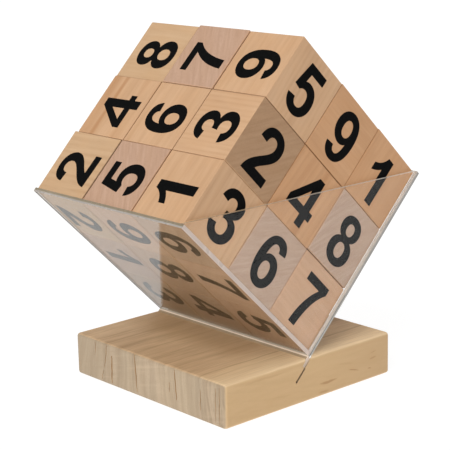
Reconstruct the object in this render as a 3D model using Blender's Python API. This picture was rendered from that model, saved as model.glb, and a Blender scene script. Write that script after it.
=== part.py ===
"""A sudoku cube: loose wooden number blocks, stacked three by three by three and
standing on one edge in a clear V-shaped tray, which is plugged into a slanting
slot in a wooden base.

Metres, +Z up. The origin is at the centre of the base's underside. The trough of
the V runs along Y, and the end with the front triangle faces -Y.

The tray's own frame is turned 45 degrees about Y, at the inner corner of the V:
its +Z goes up along the left plate, its +X up along the right plate.
"""

import math

import bmesh
import bpy
from mathutils import Euler, Vector

# ---------------------------------------------------------------- dimensions
MM = 0.001

BLOCK = 25.4 * MM            # edge of one wooden block: an inch
BLOCK_CHAMFER = 0.6 * MM     # broken edges of a block
BLOCK_GAP = 0.2 * MM         # between neighbouring blocks, up either plate
ROW_GAP = 0.6 * MM           # between neighbouring rows, along the trough
PITCH = BLOCK + BLOCK_GAP
ROW_PITCH = BLOCK + ROW_GAP

SHEET = 1.5 * MM             # thickness of the clear sheet
SHEET_CHAMFER = 0.15 * MM    # polished edges of the sheet
GLUE_LINE = 0.1 * MM         # bonded joint between two plates
TRAY_CLEARANCE = 0.3 * MM    # between the blocks and the two plates they lie on
END_CLEARANCE = 0.2 * MM     # between the front row and the front end plate
TRAY_REACH = 77.5 * MM       # from the V's inner corner to the free edge of a plate
TONGUE = 5.7 * MM            # the right plate's length below the V's inner corner
TRAY_LENGTH = 79.7 * MM      # along Y
TRAY_FRONT = -40.1 * MM      # the tray's front end, a little behind the base's

BASE_X = 80.0 * MM
BASE_Y = 81.0 * MM
BASE_Z = 15.3 * MM
BASE_ROUND = 1.2 * MM        # rounded edges of the base
SLOT_FIT = 0.25 * MM         # play on each side of the tongue
SLOT_STEP = TONGUE + 0.3 * MM   # where the slot narrows and the tongue stands
KERF = 0.8 * MM              # the saw cut that goes on below that step
KERF_DEPTH = 11.4 * MM       # along the slot, from the V's inner corner
REST_GAP = 0.9 * MM          # between the V's lower edge and the base

TILT = math.radians(-45.0)   # the tray's frame, about Y
# The tongue stands on the slot's step, which holds the V just clear of the base.
CORNER_Z = BASE_Z + REST_GAP + SHEET * math.sin(math.radians(45.0))

# ---------------------------------------------------------------- appearance
PINE = (0.62, 0.44, 0.25)
MAPLE = (0.60, 0.38, 0.21)
CLEAR = (0.92, 0.94, 0.94)

ROWS_Y = ("front", "middle", "rear")
# The rows don't stand quite in line: how far back each has slid along the trough,
# for the blocks nought, one and two steps up the right plate.
SLACK = {
    "front": (0.0 * MM, 0.0 * MM, 0.0 * MM),
    "middle": (0.4 * MM, 0.1 * MM, 0.1 * MM),
    "rear": (1.0 * MM, 0.3 * MM, 0.3 * MM),
}
# (steps up the left plate, steps up the right plate) -> place in the diamond
PLACES = {
    (0, 0): "bottom",
    (1, 0): "lower_left",
    (0, 1): "lower_right",
    (2, 0): "left",
    (1, 1): "centre",
    (0, 2): "right",
    (2, 1): "upper_left",
    (1, 2): "upper_right",
    (2, 2): "top",
}


# ---------------------------------------------------------------- helpers
def material(name, colour, roughness, alpha=1.0, transmission=0.0):
    """A Principled surface of its own for one piece."""
    made = bpy.data.materials.new(name + "_surface")
    made.use_nodes = True
    shader = made.node_tree.nodes["Principled BSDF"]
    shader.inputs["Base Color"].default_value = (*colour, 1.0)
    shader.inputs["Roughness"].default_value = roughness
    shader.inputs["Metallic"].default_value = 0.0
    shader.inputs["Alpha"].default_value = alpha
    shader.inputs["Transmission Weight"].default_value = transmission
    made.diffuse_color = (*colour, alpha)
    return made


def link(name, mesh, parent=None, location=(0.0, 0.0, 0.0)):
    made = bpy.data.objects.new(name, mesh)
    bpy.context.scene.collection.objects.link(made)
    made.parent = parent
    made.location = location
    return made


def box_mesh(name, size, centre=(0.0, 0.0, 0.0)):
    """A box of that size around a point of its own object."""
    shape = bmesh.new()
    bmesh.ops.create_cube(shape, size=1.0)
    bmesh.ops.scale(shape, vec=Vector(size), verts=shape.verts)
    bmesh.ops.translate(shape, vec=Vector(centre), verts=shape.verts)
    mesh = bpy.data.meshes.new(name)
    shape.to_mesh(mesh)
    shape.free()
    return mesh


def prism_mesh(name, outline_xz, thickness):
    """An outline in the XZ plane, extruded along Y by its thickness about y = 0."""
    shape = bmesh.new()
    corners = [shape.verts.new((x, -thickness / 2, z)) for x, z in outline_xz]
    face = shape.faces.new(corners)
    grown = bmesh.ops.extrude_face_region(shape, geom=[face])
    moved = [v for v in grown["geom"] if isinstance(v, bmesh.types.BMVert)]
    bmesh.ops.translate(shape, vec=(0.0, thickness, 0.0), verts=moved)
    bmesh.ops.recalc_face_normals(shape, faces=shape.faces)
    mesh = bpy.data.meshes.new(name)
    shape.to_mesh(mesh)
    shape.free()
    return mesh


def broken_edges(obj, width, segments):
    bevel = obj.modifiers.new("edges", "BEVEL")
    bevel.width = width
    bevel.segments = segments
    bevel.limit_method = "ANGLE"
    bevel.angle_limit = math.radians(30.0)
    return bevel


# ---------------------------------------------------------------- the pieces
def make_base():
    """The base block, with the slot that the tray's tongue stands in."""
    base = link("base_block", box_mesh("base_block", (BASE_X, BASE_Y, BASE_Z)))
    base.location = (0.0, 0.0, BASE_Z / 2)
    broken_edges(base, BASE_ROUND, 3)
    base.data.materials.append(material("base_block", PINE, 0.6))

    # The slot lies in the tray's frame, in line with the right plate. It is as wide
    # as the sheet down to the step, and a saw kerf from there on.
    mouth = 8.0 * MM
    upper, lower = SLOT_FIT, -SHEET - SLOT_FIT
    outline = [
        (mouth, upper),
        (mouth, lower),
        (-KERF_DEPTH, lower),
        (-KERF_DEPTH, lower + KERF),
        (-SLOT_STEP, lower + KERF),
        (-SLOT_STEP, upper),
    ]
    kerf = link("slot_cutter", prism_mesh("slot_cutter", outline, BASE_Y + 10.0 * MM))
    kerf.location = (0.0, 0.0, CORNER_Z)
    kerf.rotation_euler = Euler((0.0, TILT, 0.0))
    kerf.hide_render = True
    kerf.display_type = "WIRE"

    cut = base.modifiers.new("slot", "BOOLEAN")
    cut.operation = "DIFFERENCE"
    cut.solver = "EXACT"
    cut.object = kerf
    return base


def make_tray(frame):
    """The three bonded plates of clear sheet. Each one's origin is on its middle."""
    reach, t = TRAY_REACH, SHEET
    middle = TRAY_FRONT + TRAY_LENGTH / 2

    # Up the left: it stands on the right plate's inner face.
    height = reach - GLUE_LINE
    left = link(
        "left_plate",
        box_mesh("left_plate", (t, TRAY_LENGTH, height)),
        frame,
        (-t / 2, middle, GLUE_LINE + height / 2),
    )

    # Up the right, and on below the V as the tongue.
    width = reach + TONGUE
    right = link(
        "right_plate",
        box_mesh("right_plate", (width, TRAY_LENGTH, t)),
        frame,
        (width / 2 - TONGUE, middle, -t / 2),
    )

    # The front end stands between the side plates, flush with their edges. The rear
    # end is open, so the blocks can be slid in from there.
    g = GLUE_LINE
    front = link(
        "front_end_plate",
        prism_mesh("front_end_plate", [(g, g), (reach, g), (g, reach)], t),
        frame,
        (0.0, TRAY_FRONT + t / 2, 0.0),
    )

    for plate in (left, right, front):
        broken_edges(plate, SHEET_CHAMFER, 1)
        plate.data.materials.append(
            material(plate.name, CLEAR, 0.03, alpha=0.25, transmission=1.0)
        )


def make_blocks(frame):
    """The loose blocks. Each has its origin at its centre, on the line it slides along."""
    shared = box_mesh("block", (BLOCK, BLOCK, BLOCK))
    first = TRAY_CLEARANCE + BLOCK / 2
    foremost = TRAY_FRONT + SHEET + END_CLEARANCE + BLOCK / 2
    for i, row in enumerate(ROWS_Y):
        for (up_left, up_right), place in PLACES.items():
            name = f"block_{row}_{place}"
            mesh = shared.copy()
            mesh.name = name
            block = link(
                name,
                mesh,
                frame,
                (
                    first + up_right * PITCH,
                    foremost + i * ROW_PITCH + SLACK[row][up_right],
                    first + up_left * PITCH,
                ),
            )
            broken_edges(block, BLOCK_CHAMFER, 1)
            # Each block was cut from another stick, so each is a little lighter or darker.
            shade = 1.0 + 0.06 * math.sin(1.7 * i + 2.3 * up_left + 3.1 * up_right)
            block.data.materials.append(
                material(name, tuple(shade * c for c in MAPLE), 0.55)
            )
    bpy.data.meshes.remove(shared)


def main():
    for old in list(bpy.data.objects):
        bpy.data.objects.remove(old, do_unlink=True)
    make_base()
    frame = link("tray_frame", None)
    frame.location = (0.0, 0.0, CORNER_Z)
    frame.rotation_euler = Euler((0.0, TILT, 0.0))
    make_tray(frame)
    make_blocks(frame)
    bpy.context.view_layer.update()


main()
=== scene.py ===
import math

import bmesh
import bpy
from mathutils import Euler, Matrix, Vector, geometry


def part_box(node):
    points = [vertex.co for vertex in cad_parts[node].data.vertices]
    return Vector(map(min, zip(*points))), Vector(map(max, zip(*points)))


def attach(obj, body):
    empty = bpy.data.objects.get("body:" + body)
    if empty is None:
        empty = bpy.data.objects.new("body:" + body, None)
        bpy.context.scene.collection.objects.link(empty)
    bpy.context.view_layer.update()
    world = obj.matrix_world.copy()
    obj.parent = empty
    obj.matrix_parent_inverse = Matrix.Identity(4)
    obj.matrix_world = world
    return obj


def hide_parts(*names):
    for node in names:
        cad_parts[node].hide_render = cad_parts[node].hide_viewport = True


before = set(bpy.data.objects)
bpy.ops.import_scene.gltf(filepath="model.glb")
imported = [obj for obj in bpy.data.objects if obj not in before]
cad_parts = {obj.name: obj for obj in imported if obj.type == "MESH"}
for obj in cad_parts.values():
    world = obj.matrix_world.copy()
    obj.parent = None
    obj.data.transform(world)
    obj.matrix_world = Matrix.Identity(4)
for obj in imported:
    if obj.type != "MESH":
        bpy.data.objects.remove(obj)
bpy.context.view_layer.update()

MM = 0.001
R2 = math.sqrt(0.5)
UP_LEFT = Vector((-R2, 0.0, R2))     # a: up along the left plate
UP_RIGHT = Vector((R2, 0.0, R2))     # b: up along the right plate
TURN = Euler((0.0, math.radians(-45.0), 0.0)).to_matrix()   # local X = b, Z = a

BLOCK = 25.4
STRETCH = 1.012       # the blocks are sawn a hair long, which closes the rows up
ROUND = 0.34          # sanded edges of a block, mm
INK = 0.02            # the printed film stands this proud, mm
SHEET = 1.5
REACH = 77.5
TONGUE = 5.7
TRAY = (-40.1, 39.6)  # the tray's two ends along Y
GLUE = 0.04           # bonded joints, as drawn here
FOOT_HIGHLIGHT_HEIGHT = 0.48           # height of the painted highlight strip along the foot
TONGUE_SHADE_END = -2.95          # below the highlight strip the tongue's face is painted brown down to here: painted shade of the wood seen through it
SHEET_IOR = 1.22
LEFT_IOR = 1.16       # the left plate is seen at a low angle, where it mirrors less than that
BASE = (80.0, 81.0, 15.3)
CORNER_Z = 15.3 + 0.9 + SHEET * R2

ROWS = ("front", "middle", "rear")
PLACES = {
    (0, 0): "bottom", (1, 0): "lower_left", (0, 1): "lower_right",
    (2, 0): "left", (1, 1): "centre", (0, 2): "right",
    (2, 1): "upper_left", (1, 2): "upper_right", (2, 2): "top",
}


# ------------------------------------------------------------------ materials
class Tree:
    """A short way to write a node tree."""

    def __init__(self, name):
        self.mat = bpy.data.materials.new(name)
        self.mat.use_nodes = True
        self.nt = self.mat.node_tree
        self.bsdf = self.nt.nodes["Principled BSDF"]
        self.out = self.nt.nodes["Material Output"]
        self.count = 0

    def add(self, kind, **settings):
        n = self.nt.nodes.new(kind)
        for k, v in settings.items():
            setattr(n, k, v)
        n.location = (-240 * (self.count % 9) - 300, 260 * (self.count // 9) - 200)
        self.count += 1
        return n

    def put(self, socket, value):
        if isinstance(value, bpy.types.NodeSocket):
            self.nt.links.new(value, socket)
        else:
            socket.default_value = value

    def math(self, op, a, b=0.0, clamp=False):
        n = self.add("ShaderNodeMath", operation=op, use_clamp=clamp)
        self.put(n.inputs[0], a)
        self.put(n.inputs[1], b)
        return n.outputs[0]

    def vmul(self, v, by):
        n = self.add("ShaderNodeVectorMath", operation="MULTIPLY")
        self.put(n.inputs[0], v)
        self.put(n.inputs[1], by)
        return n.outputs[0]

    def noise(self, v, scale, detail=2.0, rough=0.5, distortion=0.0):
        n = self.add("ShaderNodeTexNoise")
        self.put(n.inputs["Vector"], v)
        n.inputs["Scale"].default_value = scale
        n.inputs["Detail"].default_value = detail
        n.inputs["Roughness"].default_value = rough
        n.inputs["Distortion"].default_value = distortion
        return n.outputs["Fac"]

    def rings(self, v, spacing, distortion, detail_scale, profile="SAW"):
        n = self.add("ShaderNodeTexWave", wave_type="RINGS", rings_direction="Z")
        n.wave_profile = profile
        self.put(n.inputs["Vector"], v)
        n.inputs["Scale"].default_value = 0.31416 / spacing
        n.inputs["Distortion"].default_value = distortion
        n.inputs["Detail"].default_value = 2.0
        n.inputs["Detail Scale"].default_value = detail_scale
        return n.outputs["Fac"]

    def ramp(self, fac, stops, smooth=False):
        n = self.add("ShaderNodeValToRGB")
        r = n.color_ramp
        if smooth:
            r.interpolation = "EASE"
        while len(r.elements) < len(stops):
            r.elements.new(0.5)
        for e, (p, c) in zip(r.elements, stops):
            e.position = p
            e.color = (c, c, c, 1.0) if isinstance(c, (int, float)) else (*c, 1.0)
        self.put(n.inputs[0], fac)
        return n.outputs[0]

    def span(self, fac, lo, hi, to_lo=0.0, to_hi=1.0):
        n = self.add("ShaderNodeMapRange", clamp=True)
        self.put(n.inputs["Value"], fac)
        for k, x in zip(("From Min", "From Max", "To Min", "To Max"), (lo, hi, to_lo, to_hi)):
            self.put(n.inputs[k], x)
        return n.outputs["Result"]

    def mix(self, fac, a, b, mode="MIX"):
        n = self.add("ShaderNodeMix", data_type="RGBA", blend_type=mode)
        self.put(n.inputs["Factor"], fac)
        for s, x in ((n.inputs[6], a), (n.inputs[7], b)):
            self.put(s, (*x, 1.0) if isinstance(x, tuple) else x)
        return n.outputs[2]

    def bump(self, height, strength, distance, normal=None):
        n = self.add("ShaderNodeBump")
        n.inputs["Strength"].default_value = strength
        n.inputs["Distance"].default_value = distance
        self.put(n.inputs["Height"], height)
        if normal is not None:
            self.put(n.inputs["Normal"], normal)
        return n.outputs[0]


def shade(colour, by):
    return tuple(min(1.0, c * k) for c, k in zip(colour, by))


HARDWOOD = (0.590, 0.366, 0.208)


def block_wood(name, axis, tint, place, tilt, slant, spacing, figure=1.0, streaks=(), sawn=(1.0, 1.0, 1.0)):
    """Fine-grained pale hardwood. axis is the block's own axis that the grain runs along, place the
    offset of the block in its stick, tilt the lean of the grain, slant how the rings lie in the ends, and
    sawn how the two sawn ends differ from the rest."""
    t = Tree(name)
    tc = t.add("ShaderNodeTexCoord")
    mp = t.add("ShaderNodeMapping")
    t.put(mp.inputs["Vector"], tc.outputs["Object"])
    turn = {"X": (0.0, -math.pi / 2, 0.0), "Y": (math.pi / 2, 0.0, 0.0), "Z": (0.0, 0.0, 0.0)}[axis]
    mp.inputs["Scale"].default_value = (1000.0, 1000.0, 1000.0)
    mp.inputs["Rotation"].default_value = (turn[0] + tilt[0], turn[1] + tilt[1], turn[2] + slant)
    mp.inputs["Location"].default_value = place
    v = mp.outputs[0]
    along = t.vmul(v, (1.0, 1.0, 0.05))
    short = t.vmul(v, (1.0, 1.0, 0.15))

    ring = t.rings(t.vmul(v, (1.0, 1.0, 0.03)), spacing, 5.5, 0.16, "SIN")
    ring = t.ramp(ring, [(0.0, 0.0), (0.5, 0.25), (1.0, 1.0)])
    fibre = t.noise(along, 0.62, 4.0, 0.58, 0.4)
    fine = t.noise(along, 3.2, 2.0, 0.6)
    fleck = t.span(t.noise(short, 1.5, 2.0, 0.55), 0.62, 0.78)
    cloud = t.noise(t.vmul(v, (1.0, 1.0, 0.40)), 0.085, 3.0, 0.55)
    warm = t.noise(t.vmul(v, (1.0, 1.0, 0.55)), 0.16, 2.0, 0.5, 0.6)

    c0 = shade(HARDWOOD, tint)
    light = shade(c0, (1.10, 1.12, 1.15))
    dark = shade(c0, (0.81, 0.74, 0.66))
    f = t.math("MULTIPLY", ring, 0.15 * figure)
    f = t.math("ADD", f, t.math("MULTIPLY", t.span(fibre, 0.3, 0.72), 0.36))
    f = t.math("ADD", f, t.math("MULTIPLY", t.span(cloud, 0.28, 0.72), 0.38), clamp=True)
    colour = t.mix(f, light, dark)
    colour = t.mix(t.span(warm, 0.42, 0.72, 0.0, 0.30), colour, shade(c0, (1.05, 0.96, 0.84)))
    colour = t.mix(t.math("MULTIPLY", fleck, 0.17), colour, shade(c0, (0.62, 0.52, 0.43)))
    colour = t.mix(t.math("MULTIPLY", t.span(fine, 0.5, 0.8), 0.10), colour, shade(c0, (0.74, 0.66, 0.58)))
    if streaks:
        # darker streaks of heartwood along the grain
        sep = t.add("ShaderNodeSeparateXYZ")
        t.put(sep.inputs[0], tc.outputs["Object"])
        wob = t.math("MULTIPLY", t.math("SUBTRACT", t.noise(along, 0.30, 3.0), 0.5), 0.005)
        patch = t.span(t.noise(short, 0.20, 2.0), 0.30, 0.60, 0.45, 1.0)
        for at, half, strength, which in streaks:
            d = t.math("ABSOLUTE", t.math("SUBTRACT", t.math("ADD", sep.outputs[which], wob), at * MM))
            s = t.math("MULTIPLY", t.span(d, half * 0.15 * MM, half * MM, strength, 0.0), patch)
            colour = t.mix(s, colour, shade(c0, (0.70, 0.52, 0.34)))

    # the two ends of the stick: greyer, with the rings and open pores as slanting lines
    dot = t.add("ShaderNodeVectorMath", operation="DOT_PRODUCT")
    t.put(dot.inputs[0], tc.outputs["Normal"])
    dot.inputs[1].default_value = {"X": (1, 0, 0), "Y": (0, 1, 0), "Z": (0, 0, 1)}[axis]
    end = t.span(t.math("ABSOLUTE", dot.outputs["Value"]), 0.75, 0.98)
    pore = t.span(t.noise(v, 1.9, 2.0, 0.6), 0.50, 0.72)
    rays = t.noise(t.vmul(v, (0.9, 0.08, 1.0)), 1.1, 3.0, 0.55)
    wide = t.noise(t.vmul(v, (0.9, 0.10, 1.0)), 0.27, 2.0, 0.5)
    c1 = shade(c0, sawn)
    ends = t.mix(t.span(rays, 0.34, 0.68), shade(c1, (0.90, 0.93, 1.03)), shade(c1, (0.77, 0.76, 0.80)))
    ends = t.mix(t.span(wide, 0.35, 0.68, 0.0, 0.45), ends, shade(c1, (0.80, 0.76, 0.74)))
    ends = t.mix(t.math("MULTIPLY", pore, 0.22), ends, shade(c1, (0.57, 0.52, 0.50)))
    colour = t.mix(end, colour, ends)

    t.put(t.bsdf.inputs["Base Color"], colour)
    t.put(t.bsdf.inputs["Roughness"], t.span(fibre, 0.25, 0.75, 0.46, 0.62))
    t.bsdf.inputs["Specular IOR Level"].default_value = 0.35
    height = t.math("SUBTRACT", fine, t.math("MULTIPLY", fleck, 0.8))
    t.put(t.bsdf.inputs["Normal"], t.bump(height, 0.18, 0.00006))
    return t.mat


def printed_ink():
    """Black printing ink that has sunk into the grain a little."""
    t = Tree("black_printing_ink")
    tc = t.add("ShaderNodeTexCoord")
    v = t.vmul(tc.outputs["Object"], (1000.0, 1000.0, 1000.0))
    worn = t.noise(v, 1.1, 4.0, 0.65)
    fine = t.noise(v, 4.5, 2.0, 0.6)
    colour = t.mix(t.span(worn, 0.35, 0.8), (0.0020, 0.0021, 0.0023), (0.0055, 0.0053, 0.0050))
    t.put(t.bsdf.inputs["Base Color"], colour)
    t.put(t.bsdf.inputs["Roughness"], t.span(fine, 0.25, 0.75, 0.42, 0.60))
    t.bsdf.inputs["Specular IOR Level"].default_value = 0.025
    t.put(t.bsdf.inputs["Normal"], t.bump(fine, 0.10, 0.00004))
    return t.mat


# Marks in the broad side of the base, mm: along X, up, half its length, half its height, strength, slope.
SIDE_MARKS = (
    (8.4, 4.7, 4.3, 0.55, 0.80, 0.03), (6.0, 1.5, 2.6, 0.50, 0.50, 0.0), (21.1, 5.7, 2.5, 0.30, 0.85, -0.30),
    (29.3, 4.2, 1.0, 0.26, 0.75, -0.20), (31.0, 7.8, 1.8, 0.34, 0.60, 0.05), (31.2, 9.9, 1.5, 0.26, 0.40, 0.0),
    (-21.0, 13.3, 9.0, 0.40, 0.22, 0.0), (-14.0, 5.0, 5.0, 0.35, 0.15, -0.10), (17.0, 9.0, 4.0, 0.40, 0.18, -0.20),
)


# The darkest year lines of the base, mm: along Y, half its width, strength.
YEAR_LINES = (
    (30.3, 0.7, 0.30), (24.5, 1.0, 0.55), (16.2, 0.8, 0.22), (7.7, 0.9, 0.45), (-3.8, 0.7, 0.24),
    (-10.2, 0.8, 0.36), (-15.4, 0.6, 0.30), (-29.4, 0.75, 0.62), (-33.4, 0.4, 0.26),
)


def base_pine():
    """Sanded pine, the grain along X, the year rings standing nearly upright."""
    t = Tree("base_pine_wood")
    tc = t.add("ShaderNodeTexCoord")
    v = t.vmul(tc.outputs["Object"], (1000.0, 1000.0, 1000.0))
    sep = t.add("ShaderNodeSeparateXYZ")
    t.put(sep.inputs[0], v)
    x, y, z = sep.outputs

    # across: the place in the year rings, which lean together a little towards the top
    lean = t.math("MULTIPLY", y, t.math("ADD", t.math("MULTIPLY", z, 0.0045), 1.0))
    wave = t.math("SUBTRACT", t.noise(t.vmul(v, (0.20, 1.0, 1.0)), 0.055, 2.0), 0.5)
    across = t.math("ADD", lean, t.math("MULTIPLY", wave, 5.0))
    ripple = t.math("SUBTRACT", t.noise(t.vmul(v, (0.30, 1.0, 0.6)), 0.20, 2.0), 0.5)
    across = t.math("ADD", across, t.math("MULTIPLY", ripple, 2.2))

    def rows(along, up):
        c = t.add("ShaderNodeCombineXYZ")
        t.put(c.inputs[0], t.math("MULTIPLY", x, along))
        t.put(c.inputs[1], across)
        t.put(c.inputs[2], t.math("MULTIPLY", z, up))
        return c.outputs[0]

    lines = rows(0.045, 0.055)
    broad = t.span(t.noise(lines, 0.115, 2.0, 0.5), 0.32, 0.66)
    year = t.span(t.noise(lines, 0.42, 3.0, 0.55), 0.38, 0.66)
    close = t.span(t.noise(lines, 1.25, 2.0, 0.6), 0.40, 0.68)
    fibre = t.noise(rows(0.075, 0.35), 1.9, 3.0, 0.6)
    front = t.span(y, -17.0, -31.0)      # sapwood towards the front, paler and closer grown

    streak = None
    cloud = t.span(t.noise(t.vmul(v, (0.45, 1.0, 1.0)), 0.075, 3.0, 0.6), 0.32, 0.68)
    f = t.math("MULTIPLY", broad, 0.24)
    f = t.math("ADD", f, t.math("MULTIPLY", cloud, 0.24))
    f = t.math("ADD", f, t.math("MULTIPLY", year, 0.24))
    f = t.math("ADD", f, t.math("MULTIPLY", close, 0.16))
    f = t.math("ADD", f, t.math("MULTIPLY", t.span(fibre, 0.3, 0.75), 0.18))
    f = t.math("SUBTRACT", f, t.math("MULTIPLY", front, 0.56), clamp=True)
    f = t.math("ADD", f, t.span(x, -22.0, -40.0, 0.04, 0.16), clamp=True)
    colour = t.ramp(f, [(0.0, (0.800, 0.575, 0.335)), (0.40, (0.660, 0.450, 0.260)), (1.0, (0.440, 0.280, 0.150))])

    for at, half, strength in YEAR_LINES:
        d = t.math("ABSOLUTE", t.math("SUBTRACT", t.math("ADD", lean, t.math("MULTIPLY", ripple, 2.0)), at))
        line = t.math("MULTIPLY", t.span(d, half * 0.15, half, strength, 0.0), t.span(fibre, 0.30, 0.62, 0.55, 1.0))
        streak = line if streak is None else t.math("MAXIMUM", streak, line)
    colour = t.mix(streak, colour, (0.370, 0.218, 0.106))

    near = t.math("ABSOLUTE", t.math("ADD", x, 7.0))      # browner below the V
    colour = t.mix(t.math("MULTIPLY", t.span(near, 6.0, 15.0, 0.55, 0.0), t.span(front, 0.0, 0.7, 1.0, 0.0)), colour, (0.520, 0.315, 0.155))
    colour = t.mix(t.span(y, -31.0, -37.0, 0.0, 0.55), colour, (0.900, 0.670, 0.405))
    colour = t.mix(t.math("MULTIPLY", t.math("MULTIPLY", close, front), 0.35), colour, (0.560, 0.370, 0.200))

    # the broad side is cut along the rings, so it is pale with a few short marks
    nrm = t.add("ShaderNodeSeparateXYZ")
    t.put(nrm.inputs[0], tc.outputs["Normal"])
    side = t.span(t.math("ABSOLUTE", nrm.outputs["Y"]), 0.72, 0.98)
    flame = t.noise(t.vmul(v, (0.035, 1.0, 0.42)), 0.42, 3.0, 0.55, 0.6)
    pale = t.mix(t.span(flame, 0.32, 0.70), (0.665, 0.450, 0.235), (0.600, 0.390, 0.195))
    pale = t.mix(t.math("MULTIPLY", t.span(fibre, 0.3, 0.75), 0.22), pale, (0.545, 0.345, 0.165))
    pale = t.mix(t.span(x, 4.0, 34.0, 0.0, 0.55), pale, (0.540, 0.352, 0.182))
    wander = t.math("MULTIPLY", t.math("SUBTRACT", t.noise(t.vmul(v, (0.5, 1.0, 1.0)), 0.35, 2.0), 0.5), 1.3)
    plane = t.math("ADD", z, t.math("MULTIPLY", x, 0.20))
    swept = t.add("ShaderNodeCombineXYZ")
    for sock, val in zip(swept.inputs, (t.math("MULTIPLY", x, 0.04), y, plane)):
        t.put(sock, val)
    pale = t.mix(t.span(t.noise(swept.outputs[0], 0.55, 2.0, 0.5), 0.50, 0.74, 0.0, 0.30), pale, (0.540, 0.345, 0.170))
    for mx, mz, half, high, strength, slope in SIDE_MARKS:
        dx = t.math("DIVIDE", t.math("SUBTRACT", x, mx), half)
        level = t.math("SUBTRACT", t.math("ADD", z, wander), t.math("MULTIPLY", t.math("SUBTRACT", x, mx), slope))
        dz = t.math("DIVIDE", t.math("SUBTRACT", level, mz), high)
        d = t.math("ADD", t.math("MULTIPLY", dx, dx), t.math("MULTIPLY", dz, dz))
        pale = t.mix(t.span(d, 0.25, 1.3, strength, 0.0), pale, (0.430, 0.232, 0.090))
    colour = t.mix(side, colour, pale)

    # the sawn ends are greyer: close upright lines, and the faint marks of the saw across them
    end = t.span(t.math("ABSOLUTE", nrm.outputs["X"]), 0.42, 0.80)
    pore = t.span(t.noise(v, 1.7, 2.0, 0.6), 0.48, 0.72)
    cut = t.add("ShaderNodeCombineXYZ")      # the saw went across it, rising a little
    for sock, val in zip(cut.inputs, (x, t.math("MULTIPLY", y, 0.07), t.math("ADD", z, t.math("MULTIPLY", y, 0.25)))):
        t.put(sock, val)
    saw = t.noise(cut.outputs[0], 0.62, 2.0, 0.5)
    some = t.span(t.noise(v, 0.07, 2.0, 0.5), 0.42, 0.60, 0.05, 1.0)
    corner = t.span(y, -24.0, -37.0)
    blotch = t.noise(rows(1.0, 0.25), 0.075, 2.0, 0.5)
    ends = t.mix(t.span(broad, 0.0, 1.0, 0.0, 0.85), (0.520, 0.398, 0.266), (0.382, 0.298, 0.202))
    ends = t.mix(t.span(blotch, 0.44, 0.62, 0.0, 0.55), ends, (0.515, 0.378, 0.258))
    ends = t.mix(t.span(y, -8.0, 38.0, 0.0, 0.72), ends, (0.365, 0.282, 0.190))
    ends = t.mix(t.math("MULTIPLY", year, t.span(corner, 0.0, 1.0, 0.58, 0.78)), ends, (0.338, 0.243, 0.152))
    ends = t.mix(t.math("MULTIPLY", close, t.span(corner, 0.0, 1.0, 0.32, 0.90)), ends, (0.310, 0.230, 0.148))
    ends = t.mix(streak, ends, (0.290, 0.212, 0.135))
    ends = t.mix(t.math("MULTIPLY", t.span(saw, 0.54, 0.68), t.math("MULTIPLY", some, 0.20)), ends, (0.630, 0.475, 0.320))
    ends = t.mix(t.math("MULTIPLY", t.span(saw, 0.44, 0.32), t.math("MULTIPLY", some, 0.30)), ends, (0.350, 0.255, 0.165))
    ends = t.mix(t.math("MULTIPLY", pore, 0.20), ends, (0.300, 0.205, 0.120))
    colour = t.mix(end, colour, ends)

    t.put(t.bsdf.inputs["Base Color"], colour)
    t.put(t.bsdf.inputs["Roughness"], t.span(fibre, 0.25, 0.75, 0.48, 0.66))
    t.bsdf.inputs["Specular IOR Level"].default_value = 0.35
    height = t.math("SUBTRACT", fibre, t.math("MULTIPLY", close, 0.5))
    t.put(t.bsdf.inputs["Normal"], t.bump(height, 0.22, 0.00008))
    return t.mat


def clear_sheet(name, ior, tint):
    """Polished clear acrylic: faint smears in the polish."""
    t = Tree(name)
    tc = t.add("ShaderNodeTexCoord")
    v = t.vmul(tc.outputs["Object"], (1000.0, 1000.0, 1000.0))
    smear = t.noise(v, 0.05, 3.0, 0.6, 0.5)
    t.bsdf.inputs["Base Color"].default_value = (*tint, 1.0)
    t.bsdf.inputs["Transmission Weight"].default_value = 1.0
    t.bsdf.inputs["IOR"].default_value = ior
    t.put(t.bsdf.inputs["Roughness"], t.span(smear, 0.35, 0.75, 0.0, 0.02))
    return t.mat


def cut_edge(name, light, dark, through=0.20, sheen=0.5):
    """A cut or cemented edge of the sheet: light gathers in it, more or less with what lies behind."""
    t = Tree(name)
    tc = t.add("ShaderNodeTexCoord")
    v = t.vmul(tc.outputs["Object"], (1000.0, 1000.0, 1000.0))
    marks = t.noise(v, 0.16, 2.0, 0.5)
    t.put(t.bsdf.inputs["Base Color"], t.mix(t.span(marks, 0.3, 0.7), light, dark))
    t.bsdf.inputs["Transmission Weight"].default_value = through
    t.bsdf.inputs["Specular IOR Level"].default_value = sheen
    t.bsdf.inputs["IOR"].default_value = SHEET_IOR
    t.put(t.bsdf.inputs["Roughness"], t.span(marks, 0.3, 0.7, 0.24, 0.34))
    return t.mat


def level_edge():
    """The level upper edge of the front end: wood shows in its left half, the light in its right end."""
    t = Tree("acrylic_level_edge")
    tc = t.add("ShaderNodeTexCoord")
    v = t.vmul(tc.outputs["Object"], (1000.0, 1000.0, 1000.0))
    sep = t.add("ShaderNodeSeparateXYZ")
    t.put(sep.inputs[0], v)
    marks = t.noise(v, 0.12, 2.0, 0.5)
    along = t.math("SUBTRACT", sep.outputs["X"], sep.outputs["Z"])
    along = t.math("ADD", along, t.math("MULTIPLY", t.math("SUBTRACT", marks, 0.5), 24.0))
    colour = t.ramp(t.span(along, -REACH, REACH), [
        (0.0, (0.50, 0.36, 0.22)), (0.22, (0.46, 0.33, 0.20)), (0.45, (0.62, 0.52, 0.42)), (1.0, (0.74, 0.67, 0.60))])
    t.put(t.bsdf.inputs["Base Color"], colour)
    t.bsdf.inputs["Transmission Weight"].default_value = 0.20
    t.bsdf.inputs["IOR"].default_value = SHEET_IOR
    t.put(t.bsdf.inputs["Roughness"], t.span(marks, 0.3, 0.7, 0.24, 0.34))
    return t.mat


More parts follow.
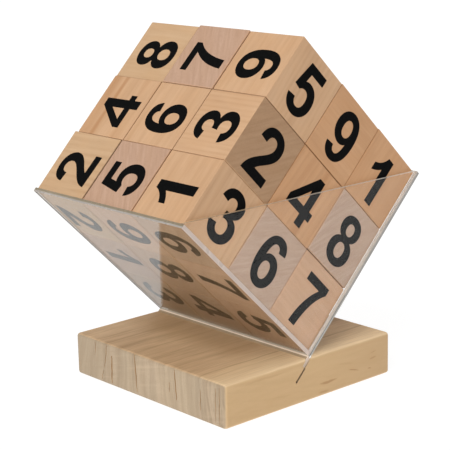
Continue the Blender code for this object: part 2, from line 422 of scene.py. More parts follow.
# ------------------------------------------------------------------ numbers
# Outlines of a plain bold grotesque, drawn in hundredths of a figure's height: M, L and C as in a
# drawing program, the first contour the figure, the others its counters.
FIGURES = {
    1: ["M 0 56 L 0 72.5 C 13.5 77.5 23 87 27.5 100 L 44.6 100 L 44.6 0 L 25 0 L 25 72 C 18 65 9.5 59.5 0 56"],
    2: ["M 0 0 L 67 0 L 67 18 L 29 18 C 31.5 22.5 37 28 44.5 34.5 C 59 47.5 66.5 57.5 66.5 71.5"
        " C 66.5 89 53.5 101.2 34.5 101.2 C 15.5 101.2 3.5 90.5 1.8 70.5 L 21 68.6"
        " C 21.6 80 26.5 85 34.2 85 C 42 85 47 80 47 71.8 C 47 62.5 41 55.5 28 43.5 C 11.5 28.5 1.8 18 0 0"],
    3: ["M 0.6 26.8 L 19.4 29 C 20.6 19.8 25.6 15 33 15 C 41.2 15 47 20.6 47 29.6 C 47 38.8 41.6 44.4 33.6 44.4"
        " C 31 44.4 28.4 44 25.2 43 L 27.4 58.8 C 38 58.5 43.8 63.3 43.8 71.8 C 43.8 80 39.3 85 32 85"
        " C 24.5 85 20 80.3 18.9 72.3 L 1 75.4 C 3.8 92 15.2 101.2 32.8 101.2 C 51.2 101.2 63 89.8 63 74.6"
        " C 63 64.6 58 57.2 49 52.6 C 60.4 50 67 41.6 67 29.8 C 67 12 52.4 -1.2 33 -1.2 C 15 -1.2 2.8 10 0.6 26.8"],
    4: ["M 43 0 L 62 0 L 62 20.5 L 73 20.5 L 73 37 L 62 37 L 62 100 L 45.5 100 L 0 36.8 L 0 20.5 L 43 20.5 L 43 0",
        "M 43 37 L 43 71 L 18.6 37 L 43 37"],
    5: ["M 0.6 25.6 L 20 27.8 C 21.2 19.6 26.6 15 33.4 15 C 42 15 47.4 21.8 47.4 33.6 C 47.4 45 42 51.2 33.4 51.2"
        " C 28 51.2 23.4 48.8 19.8 44.2 L 4.2 46.4 L 14 99 L 64 99 L 64 81.6 L 28 81.6 L 25 64.9"
        " C 29.2 67 33.6 68 38 68 C 54.6 68 67.2 55 67.2 34.4 C 67.2 13.4 53 -1.2 33.4 -1.2"
        " C 15.4 -1.2 2.8 9.4 0.6 25.6"],
    6: ["M 63.6 76.8 L 44.8 74.6 C 43.8 81.6 40 85.4 34 85.4 C 25.6 85.4 20.4 77 19.4 57.6 C 24 62.6 30 65.2 37 65.2"
        " C 53.4 65.2 66 52 66 32.4 C 66 12.4 52.4 -1.2 34.4 -1.2 C 13.4 -1.2 0 16 0 49 C 0 82.4 13.6 101.2 36 101.2"
        " C 51 101.2 61.6 92.4 63.6 76.8",
        "M 20.8 33.8 C 20.8 22.6 26.6 14.8 34.2 14.8 C 41.6 14.8 46.6 21.4 46.6 32 C 46.6 43 41.4 49.6 33.8 49.6"
        " C 26.2 49.6 20.8 43.4 20.8 33.8"],
    7: ["M 0 100 L 64.6 100 L 64.6 86 C 48.5 70 36.5 43.5 33 0 L 13.6 0 C 15.5 33 25.5 61 42.8 82.8 L 0 82.8 L 0 100"],
    8: ["M 33 101.2 C 15.4 101.2 3.8 91 3.8 75.6 C 3.8 65.6 8.8 58 17.4 54 C 6 49.6 0 40.6 0 29 C 0 11 13.4 -1.2 33 -1.2"
        " C 52.6 -1.2 66 11 66 29 C 66 40.6 60 49.6 48.6 54 C 57.2 58 62.2 65.6 62.2 75.6 C 62.2 91 50.6 101.2 33 101.2",
        "M 33 86.2 C 26.2 86.2 22 81.6 22 74 C 22 66.2 26.2 61.4 33 61.4 C 39.8 61.4 44 66.2 44 74 C 44 81.6 39.8 86.2 33 86.2",
        "M 33 45.6 C 25 45.6 20 39.6 20 30.2 C 20 20.6 25 14.6 33 14.6 C 41 14.6 46 20.6 46 30.2 C 46 39.6 41 45.6 33 45.6"],
}
FIGURE_HEIGHT = 18.45  # mm


def contour(path):
    """Points of one closed contour."""
    words = path.split()
    points, i = [], 0
    while i < len(words):
        kind = words[i]
        n = {"M": 2, "L": 2, "C": 6}[kind]
        v = [float(w) for w in words[i + 1:i + 1 + n]]
        if kind == "C":
            p0 = Vector(points[-1])
            p1, p2, p3 = Vector(v[0:2]), Vector(v[2:4]), Vector(v[4:6])
            steps = max(3, min(9, round(((p1 - p0).length + (p2 - p1).length + (p3 - p2).length) / 5.5)))
            for s in range(1, steps + 1):
                u = s / steps
                q = p0 * (1 - u) ** 3 + p1 * 3 * u * (1 - u) ** 2 + p2 * 3 * u * u * (1 - u) + p3 * u ** 3
                points.append((q.x, q.y))
        else:
            points.append(tuple(v))
        i += n + 1
    if (Vector(points[0]) - Vector(points[-1])).length < 1e-6:
        points.pop()
    area = sum(points[k - 1][0] * points[k][1] - points[k][0] * points[k - 1][1] for k in range(len(points)))
    return points if area > 0 else points[::-1]


def figure(n):
    """Contours of a figure in mm, centred on its own box."""
    shapes = [contour(p) for p in FIGURES[6 if n == 9 else n]]
    xs = [p[0] for p in shapes[0]]
    cx, cy = (min(xs) + max(xs)) / 2, 50.0
    k = FIGURE_HEIGHT / 100.0 * (-1.0 if n == 9 else 1.0)
    return [[((x - cx) * k * 1.02, (y - cy) * k) for x, y in s] for s in shapes]


FIGURE_SHAPES = {n: figure(n) for n in range(1, 10)}


# ------------------------------------------------------------------ the blocks
# A block's faces: the way out, the way a figure reads, and the way up it stands.
FACES = {
    "upper_left": ((0, 0, 1), (1, 0, 0), (0, 1, 0)),
    "front": ((0, -1, 0), (0, 0, -1), (1, 0, 0)),
    "lower_left": ((-1, 0, 0), (0, 0, -1), (0, -1, 0)),
    "lower_right": ((0, 0, -1), (1, 0, 0), (0, -1, 0)),
    "upper_right": ((1, 0, 0), (0, 1, 0), (0, 0, 1)),
    "rear": ((0, 1, 0), (0, 0, 1), (1, 0, 0)),
}

# The numbers on the six sides of the cube. Front and rear are by (steps along a, steps along b);
# the two left and two right sides by (row from the front, steps along the side).
SIDE_NUMBERS = {
    "front": {(2, 2): 5, (1, 2): 9, (0, 2): 1, (2, 1): 2, (1, 1): 4, (0, 1): 8, (2, 0): 3, (1, 0): 6, (0, 0): 7},
    "rear": {(2, 2): 3, (1, 2): 6, (0, 2): 8, (2, 1): 9, (1, 1): 1, (0, 1): 5, (2, 0): 4, (1, 0): 7, (0, 0): 2},
    "upper_left": {(2, 2): 8, (1, 2): 7, (0, 2): 9, (2, 1): 4, (1, 1): 6, (0, 1): 3, (2, 0): 2, (1, 0): 5, (0, 0): 1},
    "lower_right": {(2, 2): 6, (1, 2): 2, (0, 2): 4, (2, 1): 7, (1, 1): 5, (0, 1): 9, (2, 0): 1, (1, 0): 8, (0, 0): 3},
    "lower_left": {(0, 2): 6, (0, 1): 7, (0, 0): 5, (1, 2): 9, (1, 1): 8, (1, 0): 4, (2, 2): 2, (2, 1): 1, (2, 0): 3},
    "upper_right": {(0, 2): 4, (0, 1): 3, (0, 0): 8, (1, 2): 1, (1, 1): 7, (1, 0): 2, (2, 2): 5, (2, 1): 9, (2, 0): 6},
}


def numbers_of(row, j, k):
    """The six numbers of a block: those that show, then others for the faces inside the cube."""
    got = {}
    if row == 0:
        got["front"] = SIDE_NUMBERS["front"][(j, k)]
    if row == 2:
        got["rear"] = SIDE_NUMBERS["rear"][(j, k)]
    if j == 2:
        got["upper_left"] = SIDE_NUMBERS["upper_left"][(row, k)]
    if j == 0:
        got["lower_right"] = SIDE_NUMBERS["lower_right"][(row, k)]
    if k == 0:
        got["lower_left"] = SIDE_NUMBERS["lower_left"][(row, j)]
    if k == 2:
        got["upper_right"] = SIDE_NUMBERS["upper_right"][(row, j)]
    spare = [n for n in range(1, 10) if n not in got.values()]
    start = 2 * row + 3 * j + 5 * k
    for i, side in enumerate(FACES):
        if side not in got:
            got[side] = spare.pop((start + 2 * i) % len(spare))
    return got


# How far each printed number sits off the middle of its face, mm: (side, row, j, k) -> reading way, upwards.
PRINT_OFFSETS = {
    ("front", 0, 2, 2): (0.2, -0.2), ("front", 0, 1, 2): (0.2, -0.4), ("front", 0, 0, 2): (-2.0, -0.95),
    ("front", 0, 2, 1): (0.5, -0.9), ("front", 0, 1, 1): (-0.2, -0.6), ("front", 0, 0, 1): (0.3, -0.8),
    ("front", 0, 2, 0): (0.6, -0.2), ("front", 0, 1, 0): (0.4, -0.5), ("front", 0, 0, 0): (0.3, -0.8),
    ("upper_left", 2, 2, 0): (-1.8, -0.2), ("upper_left", 2, 2, 1): (-1.7, -0.8), ("upper_left", 2, 2, 2): (-1.2, -0.8),
    ("upper_left", 1, 2, 0): (-1.5, -0.1), ("upper_left", 1, 2, 1): (-1.4, -0.4), ("upper_left", 1, 2, 2): (-0.9, -1.0),
    ("upper_left", 0, 2, 0): (-2.9, -0.4), ("upper_left", 0, 2, 1): (-0.9, -0.1), ("upper_left", 0, 2, 2): (-0.6, -0.5),
    ("lower_left", 2, 2, 0): (1.4, -0.5), ("lower_left", 2, 1, 0): (-2.1, 1.4), ("lower_left", 2, 0, 0): (-2.3, 2.8),
    ("lower_left", 1, 2, 0): (1.7, -0.1), ("lower_left", 1, 1, 0): (-0.8, 1.7), ("lower_left", 1, 0, 0): (-2.2, 1.7),
    ("lower_left", 0, 2, 0): (0.5, -0.6), ("lower_left", 0, 1, 0): (-0.4, 0.7), ("lower_left", 0, 0, 0): (-1.6, 0.9),
}


def wobble(*key):
    """A steady number in -1..1 for a key."""
    x = math.sin(sum((i + 1) * 12.9898 * (k + 0.37) for i, k in enumerate(key))) * 43758.5453
    return 2.0 * (x - math.floor(x)) - 1.0


# Blocks that were sawn a little small, and rear ends that weren't sawn square: slope up the right plate, mm.
UNDERSIZE = {(2, 2, 2): 0.986, (0, 2, 2): 0.989}
SKEW = {(2, 2, 0): (0.036, 0.10), (2, 2, 1): (0.016, -0.19), (2, 2, 2): (0.014, 0.20)}


def block_mesh(name, row, j, k):
    h = BLOCK / 2
    bm = bmesh.new()
    bmesh.ops.create_cube(bm, size=BLOCK)
    bmesh.ops.bevel(bm, geom=bm.edges[:], offset=ROUND, segments=4, profile=0.5, affect="EDGES")
    for f in bm.faces:
        f.smooth = True
    flats = [f for f in bm.faces if f.calc_area() > 100.0]
    inner = h - ROUND
    corners = {}
    for f in flats:
        for v in f.verts:
            corners[tuple(round(c, 3) for c in v.co)] = v
        for e in f.edges:
            e.smooth = False
    bmesh.ops.delete(bm, geom=flats, context="FACES_ONLY")

    for i, (side, number) in enumerate(numbers_of(row, j, k).items()):
        out, right, up = (Vector(x) for x in FACES[side])
        off = PRINT_OFFSETS.get((side, row, j, k))
        if off is None:
            off = (0.7 * wobble(row, j, k, i), 0.7 * wobble(i, k, j, row))
        turn = math.radians(1.2 * wobble(row, k, j, i + 3))
        cs, sn = math.cos(turn), math.sin(turn)
        points = [(-inner, -inner), (inner, -inner), (inner, inner), (-inner, inner)]
        loops = [[0, 1, 2, 3]]
        for shape in FIGURE_SHAPES[number]:
            first = len(points)
            points += [(x * cs - y * sn + off[0], x * sn + y * cs + off[1]) for x, y in shape]
            loops.append(list(range(first, len(points))))
        co, _, tris, _, _, came = geometry.delaunay_2d_cdt([Vector(p) for p in points], [], loops, 1, 1e-6)
        inked = [1 in set(c) and not ({2, 3} & set(c)) for c in came]
        low, high = {}, {}

        def vert(index, lifted):
            table = high if lifted else low
            if index not in table:
                p = right * co[index].x + up * co[index].y + out * (h + (INK if lifted else 0.0))
                key = tuple(round(c, 3) for c in p)
                table[index] = corners[key] if key in corners else bm.verts.new(p)
            return table[index]

        ways = {}
        for t, ink in zip(tris, inked):
            face = bm.faces.new([vert(x, ink) for x in t])
            face.material_index = 1 if ink else 0
            for a, b in zip(t, t[1:] + t[:1]):
                ways[(a, b)] = ink
        for (a, b), ink in ways.items():
            if ink and ways.get((b, a)) is False:
                wall = bm.faces.new([low[a], low[b], high[b], high[a]])
                wall.material_index = 1
                for e in wall.edges:
                    e.smooth = False
    bm.normal_update()
    slope, longer = SKEW.get((row, j, k), (0.0, 0.0))
    for v in bm.verts:
        v.co.y += max(0.0, v.co.y / h) * (slope * v.co.x + longer)
    small = UNDERSIZE.get((row, j, k), 1.0)
    bmesh.ops.scale(bm, vec=(MM * small, MM * STRETCH, MM * small), verts=bm.verts)
    bmesh.ops.translate(bm, vec=Vector((1.0, 0.0, 1.0)) * (small - 1.0) * h * MM, verts=bm.verts)
    mesh = bpy.data.meshes.new(name)
    bm.to_mesh(mesh)
    bm.free()
    return mesh


# The sticks of wood that the blocks were cut from.
HONEY = (1.0, 1.0, 1.0)
PINK = (1.0, 1.0, 1.1)
STRAW = (0.95, 1.0, 1.0)
ORANGE = (0.95, 0.85, 0.75)

# How the sawn ends of a stick had darkened or bleached.
DARKENED = (0.8, 0.75, 0.65)
BLEACHED = (1.0, 1.1, 1.2)

# (row, j, k) -> grain axis in the block, stick, slant of the rings in degrees
STICKS = {
    (0, 2, 2): ("X", HONEY, 20), (0, 1, 2): ("Z", ORANGE, 50), (0, 0, 2): ("X", ORANGE, 10),
    (0, 2, 1): ("Y", HONEY, 48), (0, 1, 1): ("X", ORANGE, 30), (0, 0, 1): ("Y", PINK, 62),
    (0, 2, 0): ("X", HONEY, 75), (0, 1, 0): ("Y", PINK, 40), (0, 0, 0): ("Z", PINK, 15),
    (1, 0, 0): ("X", HONEY, 30), (1, 1, 0): ("X", HONEY, 65),
    (1, 2, 0): ("Z", PINK, 55), (1, 2, 1): ("X", HONEY, 25), (1, 2, 2): ("Z", PINK, 58),
    (2, 2, 0): ("Y", STRAW, 35), (2, 2, 1): ("X", HONEY, 0), (2, 2, 2): ("Y", STRAW, 70),
}
ENDS = {(0, 2, 1): DARKENED, (0, 0, 1): BLEACHED, (0, 1, 0): BLEACHED}
STREAKS = {
    (2, 2, 1): ((4.9, 2.0, 0.80, "Y"), (10.5, 5.0, 0.55, "Y"), (-6.5, 2.4, 0.30, "Y")),
    (0, 1, 1): ((-3.5, 2.2, 0.35, "Z"), (5.5, 1.6, 0.25, "Z")),
}


def add_blocks(ink):
    tints = (HONEY, PINK, STRAW, HONEY, ORANGE, PINK)
    for row, row_name in enumerate(ROWS):
        for (j, k), place in PLACES.items():
            node = f"block_{row_name}_{place}"
            low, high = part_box(node)
            piece = bpy.data.objects.new("number_" + node, block_mesh("number_" + node, row, j, k))
            bpy.context.scene.collection.objects.link(piece)
            n = row * 9 + j * 3 + k
            if (row, j, k) in STICKS:
                axis, tint, slant = STICKS[(row, j, k)]
            else:
                axis, tint, slant = "XYZXXZ"[n % 6], tints[(n * 5 + 2) % 6], 40.0 + 35.0 * wobble(n, 9)
            turn = 2.4 * n
            far = 70.0 + 45.0 * (1 + wobble(n, 1))
            piece.data.materials.append(block_wood(
                "wood_" + node, axis, tint,
                (far * math.cos(turn), far * math.sin(turn), 37.0 * n),
                (math.radians(4.0) * wobble(n, 2), math.radians(4.0) * wobble(n, 3)),
                math.radians(slant),
                2.6 + 0.9 * wobble(n, 4),
                1.0 + 0.4 * wobble(n, 5),
                STREAKS.get((row, j, k), ()),
                ENDS.get((row, j, k), (1.0, 1.0, 1.0)),
            ))
            piece.data.materials.append(ink)
            # each block lies on the plates and on the blocks below it, and a little askew
            nudge = UP_RIGHT * (-0.17, -0.28, -0.42)[k] + UP_LEFT * ((-0.22, -0.33, -0.42)[j] + 0.02 * wobble(n, 6))
            if row == 0 and j == 0:      # the lowest front blocks have been pushed up the plate
                nudge += UP_RIGHT * (0.04, 0.34, 0.44)[k]
            elif row == 0:               # and the column above them stands a little apart
                nudge += UP_RIGHT * (-0.03, -0.05, 0.14)[k] + UP_LEFT * (0.03 if (j, k) == (1, 1) else 0.0)
            elif row == 1 and j == 2:
                nudge += UP_RIGHT * (-0.02, -0.04, 0.08)[k]
            nudge += Vector((0.0, (0.03, 0.0, 0.0)[row] + 0.03 * wobble(n, 7), 0.0))
            small = Euler([math.radians(0.10) * wobble(n, 8 + i) for i in range(3)]).to_matrix()
            piece.matrix_world = Matrix.Translation((low + high) / 2 + nudge * MM) @ (TURN @ small).to_4x4()
            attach(piece, node)
            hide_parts(node)


# ------------------------------------------------------------------ the tray
def plate(name, node, outline, thickness, axis_out, place, materials, pick, cuts=(), corner=None):
    """A clear plate: an outline in two of the tray's axes, its thickness along the third. The polished
    faces take the first material; pick() says by their middle and normal which one the flat edges take,
    after the cuts have parted them, and corner() which one the broken corners take."""
    bm = bmesh.new()
    ring = [bm.verts.new(p) for p in outline]
    face = bm.faces.new(ring)
    grown = bmesh.ops.extrude_face_region(bm, geom=[face])
    moved = [x for x in grown["geom"] if isinstance(x, bmesh.types.BMVert)]
    bmesh.ops.translate(bm, vec=Vector(axis_out) * thickness, verts=moved)
    bmesh.ops.recalc_face_normals(bm, faces=bm.faces)
    bmesh.ops.bevel(bm, geom=bm.edges[:], offset=0.16, segments=2, profile=0.5, affect="EDGES")
    for co, no in cuts:
        bmesh.ops.bisect_plane(bm, geom=bm.verts[:] + bm.edges[:] + bm.faces[:], dist=1e-5, plane_co=co, plane_no=no)
    bm.normal_update()
    for f in bm.faces:
        n = f.normal
        flat = max(abs(c) for c in n) > 0.999 or abs(abs(n.x) - abs(n.z)) < 1e-3 and abs(n.y) < 1e-3
        flat = flat and f.calc_area() > 0.5
        middle = f.calc_center_median()
        f.material_index = pick(middle, n) if flat else corner(middle) if corner else 0
        f.smooth = not flat
    for e in bm.edges:
        if any(not f.smooth for f in e.link_faces):
            e.smooth = False
    bmesh.ops.scale(bm, vec=(MM, MM, MM), verts=bm.verts)
    mesh = bpy.data.meshes.new(name)
    bm.to_mesh(mesh)
    bm.free()
    piece = bpy.data.objects.new(name, mesh)
    bpy.context.scene.collection.objects.link(piece)
    for m in materials:
        mesh.materials.append(m)
    piece.matrix_world = Matrix.Translation((0.0, 0.0, CORNER_Z * MM)) @ TURN.to_4x4() @ Matrix.Translation(Vector(place) * MM)
    piece.visible_shadow = False
    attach(piece, "tray")
    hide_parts(node)
    return piece


def add_tray():
    clear = clear_sheet("clear_acrylic_face", SHEET_IOR, (0.985, 0.990, 0.988))
    # the left plate's grey tint darkens the blocks seen through it: painted shade on their lower-left faces
    low = clear_sheet("left_acrylic_shade_tint", LEFT_IOR, (0.775, 0.77, 0.74))
    pale = cut_edge("acrylic_pale_edge", (0.79, 0.655, 0.575), (0.72, 0.59, 0.52))
    grey = cut_edge("acrylic_grey_edge", (0.47, 0.44, 0.41), (0.38, 0.355, 0.33))
    lower = cut_edge("acrylic_lower_edge", (0.60, 0.58, 0.53), (0.50, 0.48, 0.43))
    free = cut_edge("acrylic_free_edge", (0.34, 0.28, 0.195), (0.29, 0.24, 0.165))
    brim = cut_edge("acrylic_free_brim", (0.49, 0.445, 0.40), (0.44, 0.40, 0.36))
    rear = cut_edge("acrylic_rear_edge", (0.40, 0.355, 0.31), (0.35, 0.31, 0.27), 0.0, 0.0)
    tongue = cut_edge("acrylic_tongue_edge", (0.90, 0.74, 0.60), (0.82, 0.66, 0.53))
    joint = cut_edge("acrylic_joint", (0.57, 0.50, 0.44), (0.50, 0.44, 0.385), 0.0, 0.0)
    foot = cut_edge("acrylic_foot_joint", (0.47, 0.395, 0.32), (0.41, 0.345, 0.28), 0.0, 0.0)
    # painted highlight: the light strip along the V's foot
    foot_highlight = cut_edge("acrylic_foot_painted_highlight", (0.86, 0.74, 0.60), (0.76, 0.64, 0.51), 0.0, 0.1)
    # painted shade: the brown of the shaded wood seen through the tongue, painted on its face
    shadow = cut_edge("acrylic_tongue_painted_shade", (0.42, 0.30, 0.185), (0.36, 0.26, 0.16), 0.0, 0.1)
    # painted shade: a dark band along the middle of the right plate's front edge
    dark_band = cut_edge("acrylic_edge_painted_dark_band", (0.22, 0.215, 0.21), (0.17, 0.165, 0.16), 0.0, 0.1)
    (fore, aft), t, g = TRAY, SHEET, GLUE
    half = -0.6 * t      # the free edge looks darker on its inner side
    # local X = b, Y = Y, Z = a
    def left_edges(c, n):
        if n.z < -0.9:
            return 3
        if n.z > 0.9:
            return 2 if c.x > half else 4
        return 1 if n.y < -0.9 else 5 if n.y > 0.9 else 0

    def left_corners(c):
        if c.z < 0.3:
            return 3
        if c.z > REACH - 0.3:
            return 2 if c.x > half else 4
        return 1 if c.y < fore + 0.3 else 5 if c.y > aft - 0.3 else 0
    plate("left_clear_plate", "left_plate",
          [(-t, fore, g), (-t, aft, g), (-t, aft, REACH), (-t, fore, REACH)], t, (1, 0, 0), (0, 0, 0),
          (low, pale, free, foot, brim, rear), left_edges, [((half, 0, 0), (1, 0, 0))], left_corners)

    # a light strip is painted along the V's foot, where the tongue comes out below it: a painted highlight, with
    # painted shade on the tongue's face below it
    def right_edges(c, n):
        if abs(n.y) > 0.9:
            if c.x < -t:
                return 3
            if c.x < 24.0 and -0.45 > c.z > -0.75:
                return 7
            return 4 if c.z > -0.45 else 2 if c.x < 24.0 else 1
        if n.z > 0.9 and c.x < -t:
            return 5 if c.x > -t - FOOT_HIGHLIGHT_HEIGHT else 6 if c.x > TONGUE_SHADE_END else 0
        return 1 if abs(n.x) > 0.9 else 0
    plate("right_clear_plate", "right_plate",
          [(-TONGUE, fore, -t), (REACH, fore, -t), (REACH, aft, -t), (-TONGUE, aft, -t)], t, (0, 0, 1), (0, 0, 0),
          (clear, grey, lower, tongue, joint, foot_highlight, shadow, dark_band), right_edges,
          [((-t, 0, 0), (1, 0, 0)), ((-t - FOOT_HIGHLIGHT_HEIGHT, 0, 0), (1, 0, 0)), ((TONGUE_SHADE_END, 0, 0), (1, 0, 0)), ((24.0, 0, 0), (1, 0, 0)), ((0, 0, -0.45), (0, 0, 1)), ((0, 0, -0.75), (0, 0, 1))],
          lambda c: 0 if c.y > fore + 0.3 else 3 if c.x < -t else 4 if c.z > -0.5 else 1)

    # the front end's slanting sides are cemented to the side plates: the right one shows its joint
    def front_edges(c, n):
        return 2 if n.z < -0.9 else 1 if n.x > 0.5 and n.z > 0.5 else 0
    plate("front_clear_triangle", "front_end_plate",
          [(g, 0, g), (REACH, 0, g), (g, 0, REACH)], t, (0, 1, 0), (0, fore, 0),
          (clear, level_edge(), joint), front_edges, (), lambda c: 2 if c.z < 0.3 else 0)


def add_cement_drop():
    """A drop of cement that has run out of the joint, at the front of the V's foot. It is coloured opaque white where
    the real drop is clear: a painted glint.
    """
    bm = bmesh.new()
    bmesh.ops.create_icosphere(bm, subdivisions=3, radius=1.0)
    for v in bm.verts:
        b, out, a = v.co
        tail = 1.0 + 0.35 * max(0.0, -b)      # drawn out down the tongue
        v.co = (0.42 * b * tail, 0.26 * min(out, 0.15), 0.36 * a * (1.0 - 0.30 * max(0.0, -b)))
    for f in bm.faces:
        f.smooth = True
    bmesh.ops.scale(bm, vec=(MM, MM, MM), verts=bm.verts)
    mesh = bpy.data.meshes.new("cement_drop_painted_glint")
    bm.to_mesh(mesh)
    bm.free()
    t = Tree("cement_drop_painted_glint")
    tc = t.add("ShaderNodeTexCoord")
    glint_mottle = t.noise(t.vmul(tc.outputs["Object"], (1000.0, 1000.0, 1000.0)), 2.5, 2.0)
    # painted glint: near-white colour on a drop that is really clear
    t.put(t.bsdf.inputs["Base Color"], t.mix(t.span(glint_mottle, 0.3, 0.7), (0.97, 0.96, 0.94), (0.93, 0.91, 0.88)))
    t.put(t.bsdf.inputs["Roughness"], t.span(glint_mottle, 0.3, 0.7, 0.08, 0.16))
    mesh.materials.append(t.mat)
    drop = bpy.data.objects.new("cement_drop_painted_glint", mesh)
    bpy.context.scene.collection.objects.link(drop)
    at = UP_LEFT * -1.10 + UP_RIGHT * -1.28 + Vector((0.0, TRAY[0], CORNER_Z))
    drop.matrix_world = Matrix.Translation(at * MM) @ TURN.to_4x4()
    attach(drop, "tray")


# ------------------------------------------------------------------ the base
def prism(name, outline, axis, low, high):
    """A closed cutter: an outline in the plane across an axis, from low to high along it."""
    bm = bmesh.new()
    def at(p, d):
        return {"X": (d, p[0], p[1]), "Y": (p[0], d, p[1])}[axis]
    a = [bm.verts.new(at(p, low)) for p in outline]
    b = [bm.verts.new(at(p, high)) for p in outline]
    bm.faces.new(a)
    bm.faces.new(b)
    for i in range(len(outline)):
        bm.faces.new((a[i - 1], a[i], b[i], b[i - 1]))
    bmesh.ops.recalc_face_normals(bm, faces=bm.faces)
    bmesh.ops.scale(bm, vec=(MM, MM, MM), verts=bm.verts)
    mesh = bpy.data.meshes.new(name)
    bm.to_mesh(mesh)
    bm.free()
    ob = bpy.data.objects.new(name, mesh)
    bpy.context.scene.collection.objects.link(ob)
    return ob


def add_base():
    x, y, z = BASE
    bm = bmesh.new()
    bmesh.ops.create_cube(bm, size=1.0)
    bmesh.ops.scale(bm, vec=(x, y, z), verts=bm.verts)
    bmesh.ops.translate(bm, vec=(0, 0, z / 2), verts=bm.verts)
    upright = [e for e in bm.edges if abs((e.verts[0].co - e.verts[1].co).z) > 1.0]
    bmesh.ops.bevel(bm, geom=upright, offset=1.5, segments=5, profile=0.5, affect="EDGES")
    flat = [e for e in bm.edges if abs(e.verts[0].co.z - e.verts[1].co.z) < 1e-4]
    bmesh.ops.bevel(bm, geom=flat, offset=1.1, segments=4, profile=0.5, affect="EDGES")
    for f in bm.faces:
        f.smooth = f.calc_area() < 150.0
    for e in bm.edges:
        if any(not f.smooth for f in e.link_faces):
            e.smooth = False
    bmesh.ops.scale(bm, vec=(MM, MM, MM), verts=bm.verts)
    mesh = bpy.data.meshes.new("slotted_pine_base")
    bm.to_mesh(mesh)
    bm.free()
    base = bpy.data.objects.new("slotted_pine_base", mesh)
    bpy.context.scene.collection.objects.link(base)

    # the kerf: as wide as the tongue, then a narrower saw cut below it
    def slot_line(b, a):
        p = UP_RIGHT * b + UP_LEFT * a
        return (p.x, p.z + CORNER_Z)
    play, rest = 0.16, 0.03      # it lies on the slot's lower wall
    mid, half, end = -1.40, 0.42, -11.0
    kerf = prism("kerf_cut", [
        slot_line(6.0, play), slot_line(-TONGUE - 0.05, play), slot_line(-TONGUE - 0.10, mid + half),
        slot_line(end, mid + half),
        *(slot_line(end - 0.30 - 0.56 * math.sin(q), mid + 0.56 * math.cos(q)) for q in (0.3, 0.9, 1.57, 2.24, 2.84)),
        slot_line(end, mid - half), slot_line(-TONGUE - 0.10, mid - half), slot_line(-TONGUE, -SHEET - rest), slot_line(6.0, -SHEET - rest),
    ], "Y", -50.0, 50.0)
    cutters = [kerf]
    # drying checks in the sawn end
    for i, (y0, z0, y1, z1, w) in enumerate((
            (22.3, 14.9, 23.8, 6.0, 0.20), (19.4, 11.4, 19.8, 1.2, 0.38), (6.6, 15.0, 5.4, 1.6, 0.30),
            (-15.2, 14.8, -16.0, 4.0, 0.26), (-28.4, 10.8, -28.3, 3.6, 0.15), (28.6, 14.6, 29.2, 9.5, 0.13),
            (24.6, 4.8, 25.6, 1.2, 0.14), (-12.3, 9.7, -12.4, 6.0, 0.14), (-36.0, 13.6, -35.9, 1.6, 0.13),
            (-37.9, 14.0, -37.8, 1.4, 0.14))):
        left, right = [], []
        steps = 7
        for s in range(steps + 1):
            u = s / steps
            yy = y0 + (y1 - y0) * u + 0.22 * wobble(i, s)
            zz = z0 + (z1 - z0) * u
            ww = w * (0.25 + 0.75 * math.sin(math.pi * (0.12 + 0.80 * u))) * (1 + 0.25 * wobble(s, i))
            left.append((yy - ww, zz))
            right.append((yy + ww, zz))
        cutters.append(prism(f"check_cut_{i}", left + right[::-1], "X", -41.5, -37.4))
    for c in cutters:
        m = base.modifiers.new("cut", "BOOLEAN")
        m.operation = "DIFFERENCE"
        m.solver = "EXACT"
        m.object = c
    graph = bpy.context.evaluated_depsgraph_get()
    graph.update()
    done = bpy.data.meshes.new_from_object(base.evaluated_get(graph))
    base.modifiers.clear()
    base.data = done
    done.name = "slotted_pine_base"
    for c in cutters:
        bpy.data.objects.remove(c, do_unlink=True)
    done.materials.clear()
    done.materials.append(base_pine())
    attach(base, "base")
    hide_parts("base_block")
    return base


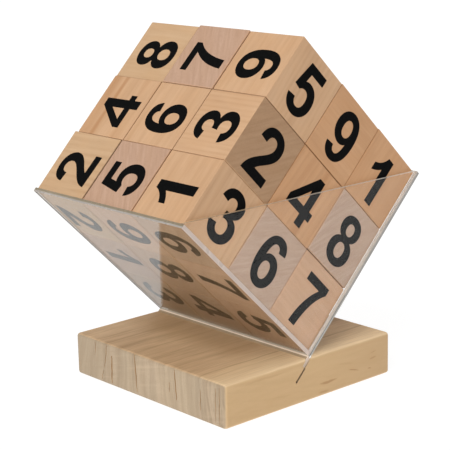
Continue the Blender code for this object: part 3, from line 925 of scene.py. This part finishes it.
# ------------------------------------------------------------------ stage, light, camera
def add_stage():
    floor_mesh = bpy.data.meshes.new("floor")
    s = 6.0
    z = -0.0001
    floor_mesh.from_pydata([(-s, -s, z), (s, -s, z), (s, s, z), (-s, s, z)], [], [(0, 1, 2, 3)])
    floor = bpy.data.objects.new("floor", floor_mesh)
    bpy.context.scene.collection.objects.link(floor)
    t = Tree("pale_floor")
    tc = t.add("ShaderNodeTexCoord")
    speck = t.noise(tc.outputs["Object"], 6.0, 2.0)
    t.put(t.bsdf.inputs["Base Color"], t.mix(speck, (0.21, 0.21, 0.21), (0.19, 0.19, 0.19)))
    t.bsdf.inputs["Roughness"].default_value = 0.9
    t.bsdf.inputs["Specular IOR Level"].default_value = 0.1
    t.bsdf.inputs["Emission Color"].default_value = (1.0, 1.0, 1.0, 1.0)
    t.bsdf.inputs["Emission Strength"].default_value = 0.88
    floor_mesh.materials.append(t.mat)

    world = bpy.data.worlds.new("studio")
    bpy.context.scene.world = world
    world.use_nodes = True
    sky = world.node_tree.nodes["Background"]
    sky.inputs["Color"].default_value = (1.0, 1.0, 1.0, 1.0)
    sky.inputs["Strength"].default_value = 0.50

    lamp = bpy.data.lights.new("key", "SUN")
    lamp.energy = 1.82
    lamp.angle = math.radians(40.0)
    ob = bpy.data.objects.new("key", lamp)
    bpy.context.scene.collection.objects.link(ob)
    ob.location = (-0.80, -0.18, 0.70)
    ob.rotation_euler = Vector((-0.80, -0.18, 0.70)).to_track_quat("Z", "Y").to_euler()

    lamp = bpy.data.lights.new("fill", "SUN")      # low from the right, under the overhanging cube
    lamp.energy = 0.42
    lamp.angle = math.radians(40.0)
    ob = bpy.data.objects.new("fill", lamp)
    bpy.context.scene.collection.objects.link(ob)
    ob.location = (1.0, 0.0, 0.5)
    ob.rotation_euler = Vector((1.0, 0.0, 0.5)).to_track_quat("Z", "Y").to_euler()


def add_camera():
    """The view of the photograph: the aim, then a small roll and shift for its framing."""
    az, el, roll = math.radians(-41.83), math.radians(13.19), math.radians(1.21)
    focal, cx, cy = 1476.77, 229.205, 212.112
    back = Vector((math.sin(az) * math.cos(el), -math.cos(az) * math.cos(el), math.sin(el)))
    right = Vector((math.cos(az), math.sin(az), 0.0))
    up = back.cross(right)
    r = right * math.cos(roll) - up * math.sin(roll)
    u = right * math.sin(roll) + up * math.cos(roll)
    cam = bpy.data.cameras.new("camera")
    cam.sensor_width = 36.0
    cam.lens = focal / 450.0 * 36.0
    cam.shift_x = (225.0 - cx) / 450.0
    cam.shift_y = (cy - 225.0) / 450.0
    cam.clip_start = 0.01
    ob = bpy.data.objects.new("camera", cam)
    bpy.context.scene.collection.objects.link(ob)
    turn = Matrix((r, u, back)).transposed()
    ob.matrix_world = Matrix.Translation(Vector((0, 0, 0.060)) + back * 0.52437) @ turn.to_4x4()
    bpy.context.scene.camera = ob


bpy.context.scene.view_settings.view_transform = "Standard"
add_stage()
add_camera()
add_base()
add_tray()
add_cement_drop()
add_blocks(printed_ink())

bpy.context.view_layer.update()
